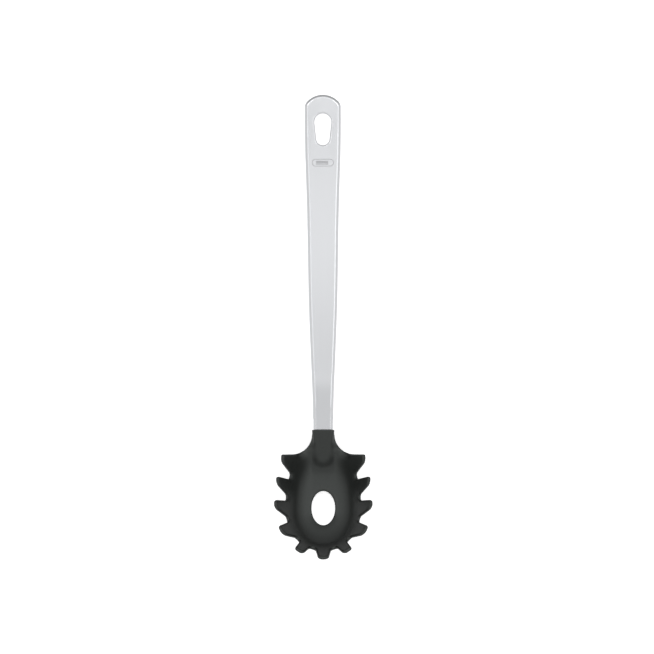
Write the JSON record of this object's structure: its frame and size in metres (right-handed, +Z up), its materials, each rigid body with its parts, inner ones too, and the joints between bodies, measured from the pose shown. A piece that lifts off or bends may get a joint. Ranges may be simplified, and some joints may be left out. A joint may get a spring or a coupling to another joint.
{
  "type": "pasta server",
  "caption": "Pronged oval bowl of dark nylon with a drain hole, on a long hollow steel handle with a hanging slot, for lifting and measuring pasta.",
  "frame": {"origin": "middle of the footprint, on the surface that the server lies on, bowl up", "axes": "+Y from the bowl to the hanging end, +Z up out of the bowl, X across"},
  "size_m": [0.068, 0.32, 0.0424],
  "materials": {
    "nylon": "fine moulded texture",
    "tang_steel": "satin",
    "front_steel": "satin",
    "back_steel": "satin"
  },
  "bodies": {
    "root": {"server_head": "nylon", "head_tang": "tang_steel", "handle_front_shell": "front_steel", "handle_back_shell": "back_steel"}
  },
  "joints": []
}
